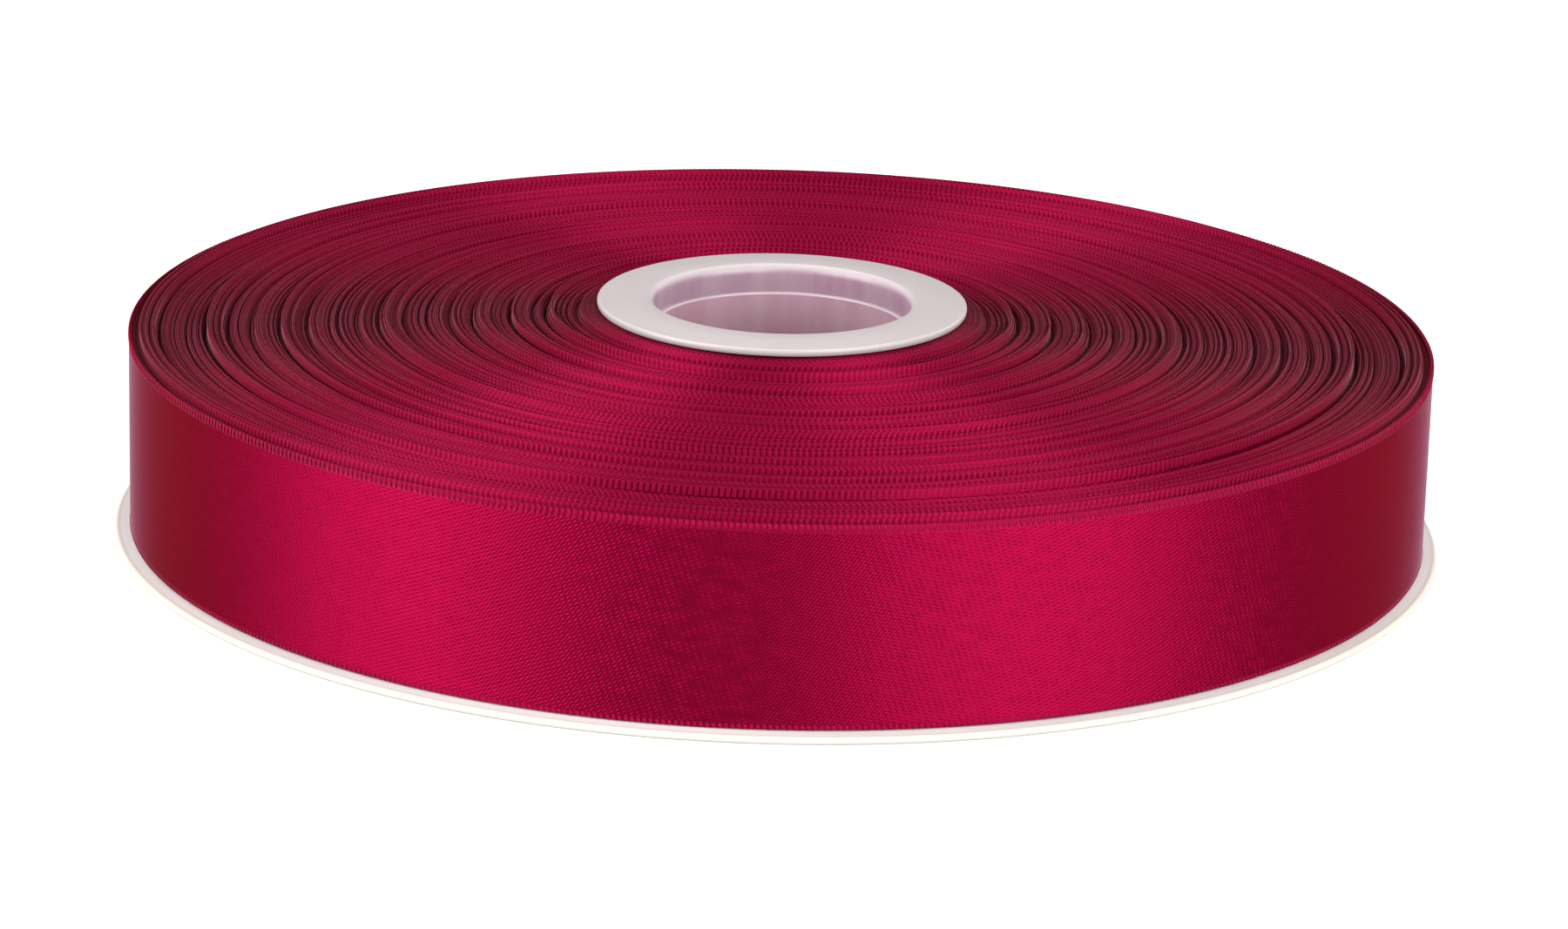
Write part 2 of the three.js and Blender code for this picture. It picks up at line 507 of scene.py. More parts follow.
@dataclass(frozen=True)
class MilkyPlastic:
    """Slightly translucent moulded plastic, with painted red shade in the bore and the sleeve for the red
    ribbon's light showing through and the shade deep inside, and painted shade on the outer rim wall; lengths
    in metres.
    """

    name: str = "milky_plastic"
    pale: Colour = (0.445, 0.397, 0.403)
    # Painted shade and painted red light: the next colour darkens and reddens the bore and the sleeve, for
    # the red ribbon's light through the wall and the shade deep in the bore; the fields after it say where.
    red_shade: Colour = (0.235, 0.128, 0.182)
    shade_top: float = 0.03
    shade_depth: float = 0.0011
    shade_radius: float = 0.0179
    shade_softness: float = 0.0008
    shade_tone_range: tuple[float, ...] = (0.2, 0.8, 0.82, 1.0)
    shade_streak_range: tuple[float, ...] = (0.35, 0.65, 0.89, 1.0)
    streak_scale: float = 420.0
    wave_scale: float = 130.0
    grain_scale: float = 2600.0
    edge_radius: float = 0.0234
    edge_softness: float = 0.15 * MM
    edge_shade: float = 0.66
    scatter: float = 0.18
    scatter_radius: Colour = (1.0, 0.7, 0.75)
    scatter_scale: float = 0.8 * MM
    specular: float = 0.45
    roughness: float = 0.36
    roughness_change: Point = (-0.06, 0.08)
    bump_strength: float = 0.12
    bump_distance: float = 0.08 * MM

    def build(self, effects: Effects) -> bpy.types.Material:
        """Builds the material.

        Args:
            effects: The shared shader groups.

        Returns:
            The material.
        """
        material, graph, shader = new_material(self.name)
        place = graph.node("ShaderNodeTexCoord").outputs["Object"]
        x, y, z = graph.split(place)
        radius = graph.from_axis(x, y)
        # Painted red shade: darker and redder inside the bore's radius and below the top face, varied by the
        # moulding's tone and by streaks.
        inside = graph.ramp(radius, self.shade_radius, self.shade_radius - self.shade_softness)
        deep = graph.ramp(z, self.shade_top, self.shade_top - self.shade_depth)
        scales = {"Wave Scale": self.wave_scale, "Grain Scale": self.grain_scale}
        moulding = graph.use(effects.moulding, {"Place": place} | scales)
        drawn = graph.vector(graph.times(x, self.streak_scale), graph.times(y, self.streak_scale), 0.0)
        red_shade_share = graph.times(inside, deep, graph.ramp(moulding["Tone"], *self.shade_tone_range))
        red_shade_share = graph.times(red_shade_share, graph.ramp(graph.noise(drawn, 1.0), *self.shade_streak_range))
        # Painted shade: the outer rim wall is darkened against the light that it catches from the front.
        outside = graph.ramp(radius, self.edge_radius, self.edge_radius + self.edge_softness)
        shaded = rgba(tuple(value * self.edge_shade for value in self.pale))
        edge = graph.blend(graph.times(outside, deep), rgba(self.pale), shaded)
        smooth, rough = (self.roughness + change for change in self.roughness_change)
        looks = {
            "Base Color": graph.blend(red_shade_share, edge, rgba(self.red_shade)),
            "Roughness": graph.mix(moulding["Tone"], smooth, rough),
            "Specular IOR Level": self.specular,
            "Subsurface Weight": self.scatter,
            "Subsurface Radius": self.scatter_radius,
            "Subsurface Scale": self.scatter_scale,
            "Normal": graph.bump(moulding["Height"], self.bump_strength, self.bump_distance),
        }
        graph.fill(shader, looks)
        return material


@dataclass(frozen=True)
class DiscBoard:
    """White coated disc whose cut rim is cream; lengths in metres."""

    rim_start: float
    name: str = "white_disc"
    colour: Colour = (0.62, 0.62, 0.605)
    worn: Colour = (0.57, 0.565, 0.55)
    rim: Colour = (0.53, 0.505, 0.445)
    rim_softness: float = 0.4 * MM
    wave_scale: float = 60.0
    grain_scale: float = 3200.0
    worn_range: Point = (0.25, 0.75)
    specular: float = 0.4
    roughness: float = 0.48
    roughness_change: Point = (0.07, -0.04)
    bump_strength: float = 0.15
    bump_distance: float = 0.05 * MM

    def build(self, effects: Effects) -> bpy.types.Material:
        """Builds the material.

        Args:
            effects: The shared shader groups.

        Returns:
            The material.
        """
        material, graph, shader = new_material(self.name)
        place = graph.node("ShaderNodeTexCoord").outputs["Object"]
        x, y, _ = graph.split(place)
        scales = {"Wave Scale": self.wave_scale, "Grain Scale": self.grain_scale}
        moulding = graph.use(effects.moulding, {"Place": place} | scales)
        share = graph.ramp(moulding["Tone"], *self.worn_range)
        outer = graph.ramp(graph.from_axis(x, y), self.rim_start, self.rim_start + self.rim_softness)
        face = graph.blend(share, rgba(self.worn), rgba(self.colour))
        rough, smooth = (self.roughness + change for change in self.roughness_change)
        looks = {
            "Base Color": graph.blend(outer, face, rgba(self.rim)),
            "Roughness": graph.mix(share, rough, smooth),
            "Specular IOR Level": self.specular,
            "Normal": graph.bump(moulding["Height"], self.bump_strength, self.bump_distance),
        }
        graph.fill(shader, looks)
        return material


@dataclass(frozen=True)
class ClearFilm:
    """Thin clear adhesive tape with a faintly streaked surface."""

    name: str = "clear_film"
    colour: Colour = (0.2, 0.13, 0.14)
    alpha: float = 0.16
    wave_scale: float = 220.0
    grain_scale: float = 1500.0
    roughness: Point = (0.1, 0.26)
    bump_strength: float = 0.2
    bump_distance: float = 0.03 * MM

    def build(self, effects: Effects) -> bpy.types.Material:
        """Builds the material.

        Args:
            effects: The shared shader groups.

        Returns:
            The material.
        """
        material, graph, shader = new_material(self.name)
        place = graph.node("ShaderNodeTexCoord").outputs["Object"]
        scales = {"Wave Scale": self.wave_scale, "Grain Scale": self.grain_scale}
        moulding = graph.use(effects.moulding, {"Place": place} | scales)
        looks = {
            "Base Color": rgba(self.colour),
            "Roughness": graph.mix(moulding["Tone"], *self.roughness),
            "Alpha": self.alpha,
            "Normal": graph.bump(moulding["Height"], self.bump_strength, self.bump_distance),
        }
        graph.fill(shader, looks)
        return material


# --- Mesh helpers -------------------------------------------------------------------------------


def arc(centre: Point, radii: Point, start: float, end: float, steps: int) -> list[Point]:
    """Lists points on part of an ellipse.

    Args:
        centre: Its centre, as distance from the axis and height.
        radii: Its radii across and up.
        start: First angle in degrees.
        end: Last angle in degrees.
        steps: How many pieces the stretch is cut into.

    Returns:
        The points, first and last included.
    """
    angles = [math.radians(start + (end - start) * step / steps) for step in range(steps + 1)]
    return [(centre[0] + radii[0] * math.cos(a), centre[1] + radii[1] * math.sin(a)) for a in angles]


def keep_mesh(name: str, shape: bmesh.types.BMesh, smooth: bool = True) -> bpy.types.Object:
    """Turns a finished shape into an object, with its faces pointing outward.

    Args:
        name: The object's name.
        shape: The shape, which is used up.
        smooth: Whether its faces are shaded as one smooth surface.

    Returns:
        The new object.
    """
    bmesh.ops.recalc_face_normals(shape, faces=shape.faces)
    for face in shape.faces:
        face.smooth = smooth
    mesh = bpy.data.meshes.new(name)
    shape.to_mesh(mesh)
    shape.free()
    return add_object(name, mesh)


def skin(shape: bmesh.types.BMesh, rings: Sequence[Sequence[bmesh.types.BMVert]]) -> None:
    """Joins rings of vertices into a tube with flat ends."""
    sides = len(rings[0])
    for first, second in zip(rings, rings[1:]):
        for side in range(sides):
            after = (side + 1) % sides
            shape.faces.new((first[side], first[after], second[after], second[side]))
    shape.faces.new(rings[0][::-1])
    shape.faces.new(rings[-1])


def turn_profile(name: str, profile: Sequence[Point], segments: int = 256) -> bpy.types.Object:
    """Turns a closed profile about the Z axis into a smooth ring.

    Args:
        name: The piece's name.
        profile: Points as distance from the axis and height, in metres, listed anticlockwise.
        segments: How many steps go round.

    Returns:
        The finished object.
    """
    solid = bmesh.new()
    rings = []
    for step in range(segments):
        angle = FULL_TURN * step / segments
        across, up = math.cos(angle), math.sin(angle)
        rings.append([solid.verts.new((r * across, r * up, z)) for r, z in profile])
    count = len(profile)
    for step, ring in enumerate(rings):
        following = rings[(step + 1) % segments]
        for index in range(count):
            after = (index + 1) % count
            solid.faces.new((ring[index], following[index], following[after], ring[after]))
    piece = keep_mesh(name, solid)
    soften(piece)
    return piece


def soften(piece: bpy.types.Object, limit: float = 40.0) -> None:
    """Marks edges that bend more than a limit as sharp, so that flat faces stay flat.

    Args:
        piece: The object.
        limit: The bend in degrees.
    """
    shape = bmesh.new()
    shape.from_mesh(piece.data)
    for edge in shape.edges:
        edge.smooth = len(edge.link_faces) == 2 and edge.calc_face_angle(0.0) < math.radians(limit)
    shape.to_mesh(piece.data)
    shape.free()


def profile_curve(name: str, points: Iterable[Point]) -> bpy.types.Object:
    """Makes the closed section of a ribbon, which Geometry Nodes sweep along the winding.

    Args:
        name: The object's name.
        points: Points as distance outward and height, in metres, listed anticlockwise.

    Returns:
        A curve object. A section's Y axis points down when it is swept, so heights are negated.
    """
    data = bpy.data.curves.new(name, "CURVE")
    data.dimensions = "3D"
    spline = data.splines.new("POLY")
    listed = list(points)[::-1]
    spline.points.add(len(listed) - 1)
    for point, (outward, height) in zip(spline.points, listed):
        point.co = (outward, -height, 0.0, 1.0)
    spline.use_cyclic_u = True
    return add_object(name, data)


def dress(piece: bpy.types.Object, material: bpy.types.Material) -> None:
    """Gives a piece its material."""
    piece.data.materials.clear()
    piece.data.materials.append(material)


def report(piece: bpy.types.Object, body: str) -> None:
    """Logs a finished piece."""
    LOG.info("%s: %d faces, on %s", piece.name, len(piece.data.polygons), body)


# --- Sizes read from the frame ------------------------------------------------------------------


@dataclass(frozen=True)
class Sizes:
    """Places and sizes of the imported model's nodes, in metres."""

    hub_radius: float = field(default_factory=lambda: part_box("core_tube")[1].x)
    collar_radius: float = field(default_factory=lambda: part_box("top_collar")[1].x)
    top_face: float = field(default_factory=lambda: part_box("top_collar")[1].z)
    sleeve_end: float = field(default_factory=lambda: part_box("top_collar")[0].z)
    core_bottom: float = field(default_factory=lambda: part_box("core_tube")[0].z)
    core_top: float = field(default_factory=lambda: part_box("core_tube")[1].z)
    base_sleeve_end: float = field(default_factory=lambda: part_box("bottom_collar")[1].z)
    disc_radius: float = field(default_factory=lambda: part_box("bottom_disc")[1].x)
    disc_top_at_hub: float = field(default_factory=lambda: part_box("bottom_disc")[1].z)
    roll_radius: float = field(default_factory=lambda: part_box("ribbon_roll")[1].x)
    core_bore: float = 15.9 * MM
    collar_bore: float = 16.4 * MM
    sleeve_radius: float = 17.4 * MM
    collar_thickness: float = 1.2 * MM
    collar_edge_thickness: float = 0.9 * MM
    collar_slope: float = 0.3 * MM
    base_flange_thickness: float = 1.2 * MM
    disc_thickness: float = 1.0 * MM

    @property
    def disc_rise(self) -> float:
        """How far the disc's middle stands above its rim."""
        return self.disc_top_at_hub - self.disc_thickness


# --- Hub ----------------------------------------------------------------------------------------


@dataclass
class Hub:
    """The core and the collars that plug into its ends."""

    sizes: Sizes
    effects: Effects
    bead: float = 0.2 * MM
    crown_width: float = 4.2 * MM
    crown_shares: tuple[float, ...] = (0.3, 0.5, 0.7, 0.85, 1.0)
    crown_gap: float = 0.01 * MM
    mouth: Point = (0.9 * MM, 1.3 * MM)
    sleeve_insets: Point = (0.15 * MM, 0.2 * MM)  # at the sleeve's end, inside and outside
    sleeve_bevel: float = 0.25 * MM
    lip: Point = (0.5 * MM, 0.8 * MM)  # where the flat by the edge begins and ends
    lip_rise: float = 0.02 * MM
    socket_gap: float = 0.12 * MM
    shoulder_gap: float = 0.02 * MM
    ledge: float = 0.22 * MM
    base_rim: float = 0.3 * MM

    def collar_profile(self) -> list[Point]:
        """Lists the top collar's section, from the sleeve's end round to the bore."""
        s = self.sizes
        underside = s.top_face - s.collar_thickness
        rim = s.collar_edge_thickness / 2
        edge_top = s.top_face - s.collar_slope
        inner, outer = self.sleeve_insets
        lip_start, lip_end = self.lip
        points = [(s.collar_bore + inner, s.sleeve_end), (s.sleeve_radius - outer, s.sleeve_end)]
        points.append((s.sleeve_radius, s.sleeve_end + self.sleeve_bevel))
        points.append((s.sleeve_radius, underside))
        points += arc((s.collar_radius - self.bead, edge_top - rim), (self.bead, rim), -90, 80, 8)
        points.append((s.collar_radius - lip_start, edge_top))
        points.append((s.collar_radius - lip_end, edge_top + self.lip_rise))
        for share in self.crown_shares:
            radius = s.collar_radius - lip_end - share * self.crown_width
            rise = (s.collar_slope - self.crown_gap) * math.sin(share * math.pi / 2)
            points.append((radius, edge_top + rise))
        centre = (s.collar_bore + self.mouth[0], s.top_face - self.mouth[1])
        points += arc(centre, self.mouth, 90, 180, 10)
        return points

    def core_profile(self) -> list[Point]:
        """Lists the core's section: a wall with a wider socket at each end."""
        s = self.sizes
        socket = s.sleeve_radius + self.socket_gap
        shoulder = s.sleeve_end - self.shoulder_gap
        base_shoulder = s.base_sleeve_end + self.socket_gap
        ledge = self.ledge
        points = [(socket, s.core_bottom), (s.hub_radius, s.core_bottom), (s.hub_radius, s.core_top)]
        points += [(socket, s.core_top), (socket, shoulder)]
        points += arc((s.core_bore + ledge, shoulder - ledge), (ledge, ledge), 90, 180, 5)
        points += [(s.core_bore, base_shoulder), (socket, base_shoulder)]
        return points

    def base_collar_profile(self) -> list[Point]:
        """Lists the bottom collar's section, from its underside round to the bore."""
        s = self.sizes
        rim = self.base_rim
        points = arc((s.collar_bore + rim, rim), (rim, rim), 180, 270, 4)
        points += arc((s.collar_radius - rim, rim), (rim, rim), -90, 0, 5)
        points += [(s.collar_radius, s.base_flange_thickness), (s.sleeve_radius, s.base_flange_thickness)]
        points += [(s.sleeve_radius, s.base_sleeve_end), (s.collar_bore, s.base_sleeve_end)]
        return points

    def build(self) -> None:
        """Builds and dresses the three pieces."""
        # Painted red shade starts just under the top collar's face.
        plastic = MilkyPlastic(shade_top=self.sizes.top_face - 0.02 * MM).build(self.effects)
        # The core wall below the collar's sleeve gets painted red shade.
        core_wall = MilkyPlastic(
            name="tinted_core",
            pale=(0.5, 0.4, 0.44),
            red_shade=(0.285, 0.15, 0.192),
            shade_top=self.sizes.sleeve_end - 0.06 * MM,
            shade_depth=0.3 * MM,
            scatter=0.1,
            roughness=0.3,
        ).build(self.effects)
        top = turn_profile("hub_collar_top", self.collar_profile())
        dress(top, plastic)
        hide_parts("top_collar")
        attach(top, Body.COLLAR.value)
        report(top, Body.COLLAR.value)
        core = turn_profile("hub_core", self.core_profile())
        dress(core, core_wall)
        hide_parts("core_tube")
        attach(core, Body.SPOOL.value)
        report(core, Body.SPOOL.value)
        base = turn_profile("hub_collar_base", self.base_collar_profile())
        dress(base, plastic)
        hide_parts("bottom_collar")
        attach(base, Body.SPOOL.value)
        report(base, Body.SPOOL.value)


@dataclass
class BaseDisc:
    """The wide thin disc that the ribbon lies on."""

    sizes: Sizes
    effects: Effects
    hub_gap: float = 0.1 * MM
    rim_width: float = 0.9 * MM
    segments: int = 320

    def profile(self) -> list[Point]:
        """Lists the disc's section, from the hub out and back."""
        s = self.sizes
        hole = s.hub_radius + self.hub_gap
        edge = s.disc_thickness / 2
        points = [(hole, s.disc_rise), (s.collar_radius, s.disc_rise)]
        points += arc((s.disc_radius - edge, edge), (edge, edge), -90, 90, 10)
        points += [(s.collar_radius, s.disc_top_at_hub), (hole, s.disc_top_at_hub)]
        return points

    def build(self) -> None:
        """Builds and dresses the disc."""
        disc = turn_profile("base_disc", self.profile(), self.segments)
        rim = self.sizes.disc_radius - self.rim_width
        white = DiscBoard(rim_start=rim).build(self.effects)
        dress(disc, white)
        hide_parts("bottom_disc")
        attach(disc, Body.SPOOL.value)
        report(disc, Body.SPOOL.value)


# --- Ribbon -------------------------------------------------------------------------------------


@dataclass(frozen=True)
class Unevenness:
    """How far the turns' upper edges stray from an even cone: turns, millimetres and plain shares."""

    narrow_turns: float = 0.24
    narrow_rise: float = 0.5
    narrow_shift: float = 91.7
    slope: Point = (1.3, 0.35)
    step: float = 0.8
    groove: Point = (0.5, 1.9)
    groove_share: float = 0.3
    groove_depth: float = 2.3
    crossing_seed: float = 0.37
    crossing_start: float = 0.6
    crossing_length: float = 0.4
    wander_scales: Point = (1.1, 0.13)  # around the spool and from turn to turn
    lean_angle: float = 2.2
    hub_grip: Point = (0.3, 5.0)
    hub_freedom: float = 0.06
    calm_turns: float = 1.5
    rim_rise: float = 9.0
    rim_fall: float = 8.0
    ripple_scale: float = 34.0
    stitch_lean: Point = (0.24, -0.02)


class Winding:
    """The Geometry Nodes trees that wind the ribbon; lengths in millimetres inside them."""

    BANDS = floats("Band Turns", "Band Rise", "Jitter")
    SHAPE = BANDS | floats(
        "Hub Radius", "Disc Radius", "Rim Turn", "Last Turn", "Crown", "Wander", "Tilt", "Lift"
    )
    HEIGHTS = floats("Turn", "Angle", "Radius") | SHAPE
    STRIP = (
        {"Section": "object", "Steps": int, "Material": "material"}
        | floats("First Turn", "Turns", "Start Angle", "Start Radius", "Pitch", "Width")
        | floats("Disc Rise", "Rest Height", "Ripple")
        | SHAPE
    )

    def __init__(self) -> None:
        """Builds the trees, the smaller ones first."""
        self.rule = Unevenness()
        self.one_turn = self.one_turn_tree()
        self.heights = self.heights_tree()
        self.strip = self.strip_tree()
        self.stitches = self.stitches_tree()

    def one_turn_tree(self) -> bpy.types.NodeTree:
        """Builds the height of one whole turn: turns rise in bands, then drop to the next band.

        Returns:
            A group that gives a turn's height in millimetres.
        """
        inputs = floats("Turn") | self.BANDS
        graph, given = new_group("turn_height", "GeometryNodeTree", inputs, floats("Height"))
        turn, band, rise = given["Turn"], given["Band Turns"], given["Band Rise"]
        broad = self.saw(graph, turn, band, rise, 0.0)
        narrow_band = graph.times(band, self.rule.narrow_turns)
        narrow_rise = graph.times(rise, self.rule.narrow_rise)
        narrow = self.saw(graph, turn, narrow_band, narrow_rise, self.rule.narrow_shift)
        jitter = graph.swing(graph.chance(turn), given["Jitter"])
        graph.node("NodeGroupOutput", {"Height": graph.add(broad, narrow, jitter)})
        return graph.tree

    def saw(self, graph: Graph, turn: Source, band: Source, rise: Source, shift: float) -> Source:
        """Adds uneven bands of turns: the turns of a band rise outward, and then drop to the next.

        Args:
            graph: The tree being written.
            turn: The turn's number.
            band: How many turns a band has on average.
            rise: How far a band rises on average, in millimetres.
            shift: Moves the bands along, so that two sets of bands differ.

        Returns:
            The height in millimetres.
        """
        rule = self.rule
        kind = "ShaderNodeTexVoronoi"
        counted = graph.add(graph.over(turn, band), shift)
        spots = {"W": counted, "Scale": 1.0}
        cells = graph.node(kind, spots, voronoi_dimensions="1D").outputs
        chance = graph.node("FunctionNodeSeparateColor", {0: cells["Color"]}).outputs
        slope = graph.math("MULTIPLY_ADD", chance[0], *rule.slope)
        rising = graph.times(graph.minus(counted, cells["W"]), slope, rise)
        step = graph.times(graph.minus(chance[1], 0.5), rise, rule.step)
        edges = graph.node(kind, spots, voronoi_dimensions="1D", feature="DISTANCE_TO_EDGE").outputs
        dip = graph.ramp(graph.times(edges["Distance"], band), *rule.groove, -1.0, 0.0)
        groove = graph.times(dip, rise, graph.add(chance[1], rule.groove_share), rule.groove_depth)
        return graph.add(rising, step, groove)

    def heights_tree(self) -> bpy.types.NodeTree:
        """Builds the height anywhere along the winding, blended from one turn's to the next.

        Returns:
            A group that gives the upper edge's height above its nominal place, in millimetres,
            and how far in the turn lies.
        """
        rule = self.rule
        outputs = floats("Height", "Inward")
        graph, given = new_group("winding_height", "GeometryNodeTree", self.HEIGHTS, outputs)
        turn, last = given["Turn"], given["Last Turn"]
        whole = graph.math("FLOOR", turn)
        part = graph.minus(turn, whole)
        bands = {key: given[key] for key in self.BANDS}
        here = graph.use(self.one_turn, bands | {"Turn": whole})[0]
        following = graph.use(self.one_turn, bands | {"Turn": graph.add(whole, 1.0)})[0]
        start = graph.times(graph.chance(graph.add(whole, rule.crossing_seed)), rule.crossing_start)
        crossing = graph.ramp(part, start, graph.add(start, rule.crossing_length))
        wound = graph.mix(crossing, here, following)
        around_scale, turn_scale = rule.wander_scales
        around = graph.on_circle(given["Angle"], around_scale, graph.times(turn, turn_scale))
        slow = graph.swing(graph.noise(around, 1.0, 1.0), given["Wander"])
        lean = graph.math("COSINE", graph.minus(given["Angle"], rule.lean_angle))
        leaning = graph.times(lean, given["Tilt"])
        held, loose = (graph.add(given["Hub Radius"], reach) for reach in rule.hub_grip)
        free = graph.ramp(given["Radius"], held, loose, rule.hub_freedom, 1.0)
        calm = graph.ramp(turn, graph.minus(last, rule.calm_turns), last, 1.0, 0.0)
        inward = self.inward(graph, given)
        rim = graph.ramp(turn, given["Rim Turn"], graph.add(given["Rim Turn"], rule.rim_rise))
        fall = graph.ramp(turn, graph.minus(last, rule.rim_fall), last, 1.0, 0.0)
        strays = [graph.times(wound, free, calm), graph.times(slow, free), graph.times(leaning, free)]
        crown = graph.times(inward, given["Crown"])
        height = graph.add(*strays, crown, graph.times(given["Lift"], rim, fall))
        graph.node("NodeGroupOutput", {"Height": height, "Inward": inward})
        return graph.tree

    @staticmethod
    def inward(graph: Graph, given: Any) -> Source:
        """Finds how far in a turn lies: 0 at the disc's rim and 1 at the collar."""
        gone = graph.minus(given["Disc Radius"], given["Radius"])
        share = graph.over(gone, graph.minus(given["Disc Radius"], given["Hub Radius"]))
        return graph.math("MINIMUM", graph.math("MAXIMUM", share, 0.0), 1.0)

    @staticmethod
    def spiral(graph: Graph, given: Any, turn: Source) -> tuple[Source, Source]:
        """Finds the angle and the distance from the axis where a turn has come to."""
        angle = graph.add(given["Start Angle"], graph.times(turn, FULL_TURN))
        return angle, graph.add(given["Start Radius"], graph.times(given["Pitch"], turn))

    def lifted(
        self, graph: Graph, given: Any, turn: Source, angle: Source, radius: Source, across: Source
    ) -> Source:
        """Finds how far a point of the ribbon is lifted by its turn's height and by the disc.

        Args:
            graph: The tree being written.
            given: The tree's inputs.
            turn: The turn's number, with its part.
            angle: The angle round the axis.
            radius: The distance from the axis.
            across: The height above the ribbon's lower edge.

        Returns:
            The lift in millimetres.
        """
        place = {"Turn": turn, "Angle": angle, "Radius": radius}
        found = graph.use(self.heights, {key: given[key] for key in self.SHAPE} | place)
        rest = graph.add(given["Rest Height"], graph.times(found["Inward"], given["Disc Rise"]))
        return graph.add(rest, graph.times(found["Height"], graph.over(across, given["Width"])))

    def strip_tree(self) -> bpy.types.NodeTree:
        """Builds a stretch of wound ribbon: a spiral path, a swept section, and the turns' heights.

        Returns:
            A tree that makes the stretch as a closed strip with its thread coordinates.
        """
        graph, given = new_group("wound_strip", "GeometryNodeTree", self.STRIP, {"Strip": "geometry"})
        line = self.row_of_points(graph, graph.add(graph.times(given["Turns"], given["Steps"]), 1.0))
        index = graph.node("GeometryNodeInputIndex").outputs[0]
        turn = graph.add(given["First Turn"], graph.over(index, given["Steps"]))
        angle, radius = self.spiral(graph, given, turn)
        half_growth = graph.times(given["Pitch"], turn, 0.5)
        along = graph.times(turn, FULL_TURN, graph.add(given["Start Radius"], half_growth))
        spot = graph.on_circle(angle, graph.times(radius, MM), 0.0)
        path = self.move(graph, line, "Position", spot)
        kept = []
        for value in (turn, angle, radius, along):
            path, held = self.capture(graph, path, value)
            kept.append(held)
        turn, angle, radius, along = kept
        curve = graph.node("GeometryNodeMeshToCurve", {"Mesh": path}).outputs[0]
        upright = graph.node("GeometryNodeSetCurveNormal", {"Curve": curve}, mode="Z_UP").outputs[0]
        section = graph.node("GeometryNodeObjectInfo", {"Object": given["Section"]}).outputs["Geometry"]
        section_y = graph.split(graph.node("GeometryNodeInputPosition").outputs[0])[1]
        section, across = self.capture(graph, section, graph.times(section_y, -1 / MM))
        sweep = {"Curve": upright, "Profile Curve": section, "Fill Caps": True}
        swept = graph.node("GeometryNodeCurveToMesh", sweep).outputs[0]
        lift = graph.times(self.lifted(graph, given, turn, angle, radius, across), MM)
        position = graph.node("GeometryNodeInputPosition").outputs[0]
        uneven = graph.minus(graph.noise(position, self.rule.ripple_scale, 1.0), 0.5)
        ripple = graph.times(uneven, 2.0 * MM, given["Ripple"])
        placed = self.move(graph, swept, "Offset", graph.on_circle(angle, ripple, lift))
        smooth = graph.node("GeometryNodeSetShadeSmooth", {"Geometry": placed}).outputs[0]
        self.finish(graph, smooth, graph.vector(along, across, 0.0), given["Material"])
        return graph.tree

    @staticmethod
    def row_of_points(graph: Graph, count: Source) -> Source:
        """Makes a row of joined points, to be moved onto the spiral."""
        return graph.node("GeometryNodeMeshLine", {"Count": count}, mode="OFFSET").outputs[0]

    @staticmethod
    def move(graph: Graph, geometry: Source, how: str, place: Source) -> Source:
        """Moves a geometry's points, to a Position or by an Offset."""
        return graph.node("GeometryNodeSetPosition", {"Geometry": geometry, how: place}).outputs[0]

    @staticmethod
    def capture(graph: Graph, geometry: Source, value: Source) -> tuple[Source, Source]:
        """Keeps a value on each point of a geometry while later steps change it.

        Args:
            graph: The tree being written.
            geometry: The geometry.
            value: The value at each point.

        Returns:
            The geometry, and the kept value.
        """
        keeper = graph.node("GeometryNodeCaptureAttribute")
        keeper.capture_items.new("FLOAT", "Kept")
        graph.put(keeper.inputs[0], geometry)
        graph.put(keeper.inputs[1], value)
        return keeper.outputs[0], keeper.outputs[1]

    @staticmethod
    def finish(graph: Graph, geometry: Source, thread: Source, material: Source) -> None:
        """Ends a tree with real geometry that has its thread coordinates and its material."""
        inputs = {"Geometry": geometry, "Name": THREAD_UV, "Value": thread}
        kind = "GeometryNodeStoreNamedAttribute"
        stored = graph.node(kind, inputs, data_type="FLOAT2", domain="CORNER").outputs[0]
        real = graph.node("GeometryNodeRealizeInstances", {0: stored}).outputs[0]
        dressed = graph.node("GeometryNodeSetMaterial", {"Geometry": real, "Material": material}).outputs[0]
        graph.node("NodeGroupOutput", {0: dressed})

    def stitches_tree(self) -> bpy.types.NodeTree:
        """Builds a row of stitches along one edge of a turn.

        Returns:
            A tree that sets copies of one stitch at an even pitch along the edge.
        """
        inputs = {"Stitch": "object"} | floats("Stitch Pitch", "Edge Height") | self.STRIP
        graph, given = new_group("selvage_row", "GeometryNodeTree", inputs, {"Row": "geometry"})
        first, start_radius, pitch = given["First Turn"], given["Start Radius"], given["Pitch"]
        spacing, edge = given["Stitch Pitch"], given["Edge Height"]
        middle = graph.add(start_radius, graph.times(first, pitch))
        before = graph.add(start_radius, graph.times(first, pitch, 0.5))
        skipped = graph.math("CEIL", graph.over(graph.times(first, FULL_TURN, before), spacing))
        length = graph.times(given["Turns"], FULL_TURN, middle)
        line = self.row_of_points(graph, graph.math("FLOOR", graph.over(length, spacing)))
        index = graph.node("GeometryNodeInputIndex").outputs[0]
        walked = graph.times(graph.add(index, skipped), spacing)
        grown = graph.over(graph.times(walked, pitch), math.pi)
        square = graph.add(graph.times(start_radius, start_radius), grown)
        turn = graph.over(graph.minus(graph.math("SQRT", square), start_radius), pitch)
        angle, radius = self.spiral(graph, given, turn)
        up = graph.add(self.lifted(graph, given, turn, angle, radius, edge), edge)
        spot = graph.on_circle(angle, graph.times(radius, MM), graph.times(up, MM))
        points = self.move(graph, line, "Position", spot)
        shape = graph.node("GeometryNodeObjectInfo", {"Object": given["Stitch"]}).outputs["Geometry"]
        tip = graph.math("MULTIPLY_ADD", graph.chance(index), *self.rule.stitch_lean)
